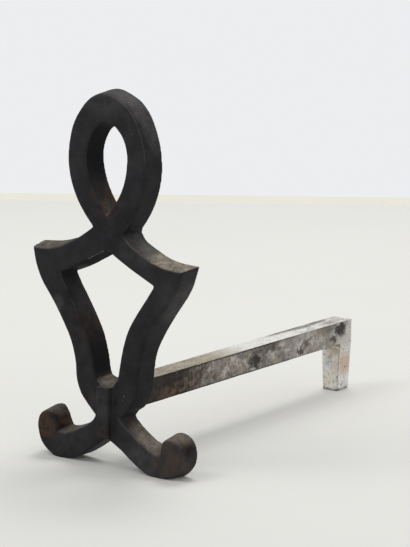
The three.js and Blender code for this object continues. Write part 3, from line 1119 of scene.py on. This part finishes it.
@dataclass
class CastingLump:
    """The small rusty lump that the iron left in the corner under the bar."""

    finish: CrustFinish = field(default_factory=CrustFinish)
    half_size: Rows = (7.0 * MM, 4.0 * MM, 3.4 * MM)
    aside: float = 5.0 * MM

    def build(self) -> bpy.types.Object:
        """Builds the lump.

        Returns:
            The lump's object.
        """
        bar_low, bar_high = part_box("log_bar")
        casting_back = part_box("front_figure")[1].y
        middle = Vector(((bar_low.x + bar_high.x) / 2 + self.aside, casting_back, bar_low.z))
        mesh = bmesh.new()
        stretch = Matrix.Diagonal((*self.half_size, 1.0))
        bmesh.ops.create_icosphere(
            mesh, subdivisions=4, radius=1.0, matrix=Matrix.Translation(middle) @ stretch
        )
        lump = finished_piece(mesh, "rusty_lump")
        uneven(lump, size=4 * MM, depth=2.6 * MM, level=0.5)
        lump.data.materials.append(self.finish.material())
        return lump


# ------------------------------------------------------------------ studio


@dataclass(frozen=True)
class StudioCamera:
    """The camera at the photograph's viewing angle, with its frame width in millimetres."""

    target: Rows = (0.12944, -0.23053, 0.22581)
    azimuth: float = 35.871
    elevation: float = 10.601
    roll: float = 0.686
    distance: float = 2.17
    lens: float = 140.864
    frame_width: float = 36.0
    clip: tuple[float, float] = (0.05, 50.0)

    def build(self) -> bpy.types.Object:
        """Makes the camera.

        Returns:
            The camera's object.
        """
        data = bpy.data.cameras.new("studio_camera")
        data.lens = self.lens
        data.sensor_width = self.frame_width
        data.clip_start, data.clip_end = self.clip
        azimuth, elevation = math.radians(self.azimuth), math.radians(self.elevation)
        back = Vector(
            (
                math.sin(azimuth) * math.cos(elevation),
                -math.cos(azimuth) * math.cos(elevation),
                math.sin(elevation),
            )
        )
        turn = back.to_track_quat("Z", "Y") @ Matrix.Rotation(
            math.radians(self.roll), 3, "Z"
        ).to_quaternion()
        camera = bpy.data.objects.new("studio_camera", data)
        camera.matrix_world = (
            Matrix.Translation(Vector(self.target) + back * self.distance)
            @ turn.to_matrix().to_4x4()
        )
        bpy.context.scene.collection.objects.link(camera)
        bpy.context.scene.camera = camera
        return camera


@dataclass(frozen=True)
class Lamp:
    """One soft area light."""

    name: str
    place: Rows
    target: Rows
    size: float
    watts: float
    tint: Colour = (1.0, 1.0, 1.0)

    def build(self) -> None:
        """Makes the light."""
        data = bpy.data.lights.new(self.name, "AREA")
        data.shape = "DISK"
        data.size = self.size
        data.energy = self.watts
        data.color = self.tint
        lamp = bpy.data.objects.new(self.name, data)
        towards = Vector(self.target) - Vector(self.place)
        lamp.rotation_mode = "QUATERNION"
        lamp.rotation_quaternion = towards.to_track_quat("-Z", "Y")
        lamp.location = self.place
        bpy.context.scene.collection.objects.link(lamp)


@dataclass(frozen=True)
class Studio:
    """The camera, a plain pale floor that ends in front of a bright backdrop, and soft light."""

    camera: StudioCamera = StudioCamera()
    floor_reach: float = 1.965
    floor_sides: int = 12
    floor_colour: Colour = (0.788, 0.780, 0.736)
    floor_rough: float = 0.7
    skirting_height: float = 0.012
    skirting_colour: Colour = (0.99, 0.965, 0.86)
    skirting_rough: float = 0.6
    backdrop: Colour = (0.846, 0.853, 0.872)
    strength: float = 0.83
    lamps: tuple[Lamp, ...] = (
        Lamp("window", (-1.6, -2.2, 3.0), (0.0, -0.1, 0.1), 1.6, 24.0),
        Lamp("ceiling", (-0.4, 1.2, 2.8), (0.0, -0.1, 0.1), 1.4, 25.0),
    )

    def build(self) -> None:
        """Builds the camera, the floor, the skirting, the backdrop and the lights."""
        self.camera.build()
        self._floor()
        self._skirting()
        self._world()
        for lamp in self.lamps:
            lamp.build()
        bpy.context.scene.view_settings.view_transform = "Standard"

    def _ring(self, mesh: bmesh.types.BMesh, filled: bool) -> None:
        """A many-sided ring round the object, one side of which faces the camera.

        Args:
            mesh: The mesh that gets the ring.
            filled: Whether the ring is a face.
        """
        corner = self.floor_reach / math.cos(math.pi / self.floor_sides)
        turn = math.radians(self.camera.azimuth) + math.pi / self.floor_sides
        middle = Vector((*self.camera.target[:2], 0.0))
        matrix = Matrix.Translation(middle) @ Matrix.Rotation(turn, 4, "Z")
        bmesh.ops.create_circle(
            mesh, cap_ends=filled, segments=self.floor_sides, radius=corner, matrix=matrix
        )

    def _staged(self, mesh: bmesh.types.BMesh, name: str, colour: Colour, rough: float) -> None:
        """Adds a piece of the stage.

        Args:
            mesh: Its mesh, which is freed.
            name: Its name.
            colour: Its colour.
            rough: Its roughness.
        """
        data = bpy.data.meshes.new(name)
        mesh.to_mesh(data)
        mesh.free()
        stage = bpy.data.objects.new(name, data)
        bpy.context.scene.collection.objects.link(stage)
        material, recipe = new_material(name)
        soft = recipe.noise(recipe.place(), 2.2, 3.0)
        pale = recipe.blend(soft.step(0.3, 0.7), tuple(c * 0.985 for c in colour), colour)
        sockets = {"Base Color": pale, "Roughness": rough, "Specular IOR Level": 0.2}
        shader = recipe.node("ShaderNodeBsdfPrincipled", {}, sockets, "BSDF")
        recipe.finish("ShaderNodeOutputMaterial", shader)
        data.materials.append(material)

    def _floor(self) -> None:
        """The pale floor."""
        mesh = bmesh.new()
        self._ring(mesh, filled=True)
        self._staged(mesh, "pale_floor", self.floor_colour, self.floor_rough)

    def _skirting(self) -> None:
        """The low skirting where the floor ends."""
        mesh = bmesh.new()
        self._ring(mesh, filled=False)
        top = verts_of(bmesh.ops.extrude_edge_only(mesh, edges=mesh.edges[:]))
        bmesh.ops.translate(mesh, vec=Vector((0.0, 0.0, self.skirting_height)), verts=top)
        self._staged(mesh, "skirting", self.skirting_colour, self.skirting_rough)

    def _world(self) -> None:
        """The bright backdrop, which also lights the object from all sides."""
        world = bpy.data.worlds.new("bright_room")
        world.use_nodes = True
        bpy.context.scene.world = world
        recipe = Recipe(world.node_tree)
        colour = shade(self.backdrop)
        seen, lights = (
            recipe.node("ShaderNodeBackground", {}, {"Color": colour, "Strength": strength})
            for strength in (1.0, self.strength)
        )
        direct = recipe.node("ShaderNodeLightPath", {}, {}, "Is Camera Ray")
        mixed = recipe.node("ShaderNodeMixShader", {}, {0: direct, 1: lights, 2: seen}, 0)
        recipe.finish("ShaderNodeOutputWorld", mixed)


def main() -> None:
    """Builds the studio and the pieces, and reports each of them."""
    logging.basicConfig(level=logging.INFO, format="%(name)s: %(message)s")
    Studio().build()
    for maker in (FrontFigure(), LogBar(), RearLeg(), LegWeld(), CastingLump()):
        piece = maker.build()
        LOG.info("%s: built as %s", type(maker).__name__, piece.name)


if __name__ == "__main__":
    main()
